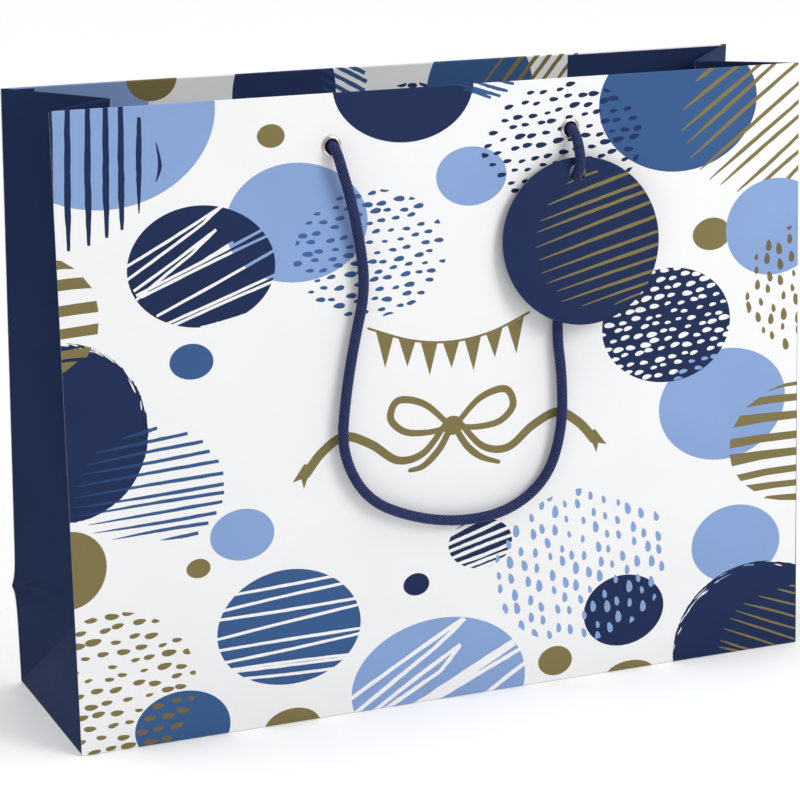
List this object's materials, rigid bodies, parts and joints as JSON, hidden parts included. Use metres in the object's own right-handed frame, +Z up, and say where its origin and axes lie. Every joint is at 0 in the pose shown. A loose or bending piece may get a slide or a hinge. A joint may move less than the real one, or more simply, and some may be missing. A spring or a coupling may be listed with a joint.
{
  "type": "gift bag",
  "caption": "Large landscape paper gift bag with folded side gussets, printed overlapping discs, rope handles through eyelets and a round hanging tag.",
  "frame": {"origin": "middle of the base, on the surface that the bag stands on", "axes": "+X along the bag's width, +Y from the front panel, which the tag hangs on, to the back panel, +Z up"},
  "size_m": [0.37, 0.1059, 0.288],
  "materials": {
    "printed_paper": "matt laminated art paper with a print of overlapping discs",
    "hem_paper": "turned-in edge of the printed paper",
    "navy_paper": "matt laminated paper printed plain navy",
    "base_paper": "white paper, navy at the gusset flaps",
    "grey_board": "uncoated grey board",
    "nickel": "polished nickel plate",
    "navy_rope": "braided polyester cord",
    "tag_card": "matt navy card with gold strokes"
  },
  "bodies": {
    "root": {"base_outer_flap": "base_paper", "base_inner_flap": "base_paper", "base_left_flap": "base_paper", "base_right_flap": "base_paper", "left_gusset_front_half": "navy_paper", "left_gusset_back_half": "navy_paper", "left_gusset_base_triangle": "navy_paper", "left_gusset_front_hem": "navy_paper", "left_gusset_back_hem": "navy_paper", "right_gusset_front_half": "navy_paper", "right_gusset_back_half": "navy_paper", "right_gusset_base_triangle": "navy_paper", "right_gusset_front_hem": "navy_paper", "right_gusset_back_hem": "navy_paper"},
    "front_wall": {"front_panel": "printed_paper", "front_reinforcing_card": "grey_board", "front_hem": "hem_paper", "front_left_eyelet": "nickel", "front_left_washer": "nickel", "front_left_knot": "navy_rope", "front_right_eyelet": "nickel", "front_right_washer": "nickel", "front_right_knot": "navy_rope"},
    "back_wall": {"back_panel": "printed_paper", "back_reinforcing_card": "grey_board", "back_hem": "hem_paper", "back_left_eyelet": "nickel", "back_left_washer": "nickel", "back_left_knot": "navy_rope", "back_right_eyelet": "nickel", "back_right_washer": "nickel", "back_right_knot": "navy_rope", "side_seam_strip": "base_paper"},
    "base_board": {"base_board": "grey_board"},
    "front_handle": {"front_handle_rope": "navy_rope"},
    "back_handle": {"back_handle_rope": "navy_rope"},
    "tag": {"gift_tag": "tag_card"}
  },
  "joints": [
    {"name": "front_wall_fold", "type": "hinge", "parent": "root", "child": "front_wall", "pos_m": [0, -0.05, 0], "axis": [1, 0, 0], "range_deg": [-4.8, 3.5], "deforming": ["left_gusset_front_half", "left_gusset_front_hem", "right_gusset_front_half", "right_gusset_front_hem"]},
    {"name": "back_wall_fold", "type": "hinge", "parent": "root", "child": "back_wall", "pos_m": [0, 0.05, 0], "axis": [-1, 0, 0], "range_deg": [-4.6, 1.9], "deforming": ["left_gusset_back_half", "left_gusset_back_hem", "right_gusset_back_half", "right_gusset_back_hem"]},
    {"name": "base_board_lift", "type": "slide", "parent": "root", "child": "base_board", "axis": [0, 0, 1], "range_m": [0, 0.015]},
    {"name": "front_handle_swing", "type": "hinge", "parent": "front_wall", "child": "front_handle", "pos_m": [0, -0.03845, 0.26496], "axis": [-1, 0, 0], "range_deg": [0, 160]},
    {"name": "back_handle_swing", "type": "hinge", "parent": "back_wall", "child": "back_handle", "pos_m": [0, 0.04581, 0.26479], "axis": [1, 0, 0], "range_deg": [0, 160]},
    {"name": "tag_swing", "type": "hinge", "parent": "front_handle", "child": "tag", "pos_m": [0.0631, -0.04089, 0.24511], "axis": [-0.0872, -0.9851, 0.1486], "range_deg": [-45, 45]}
  ]
}
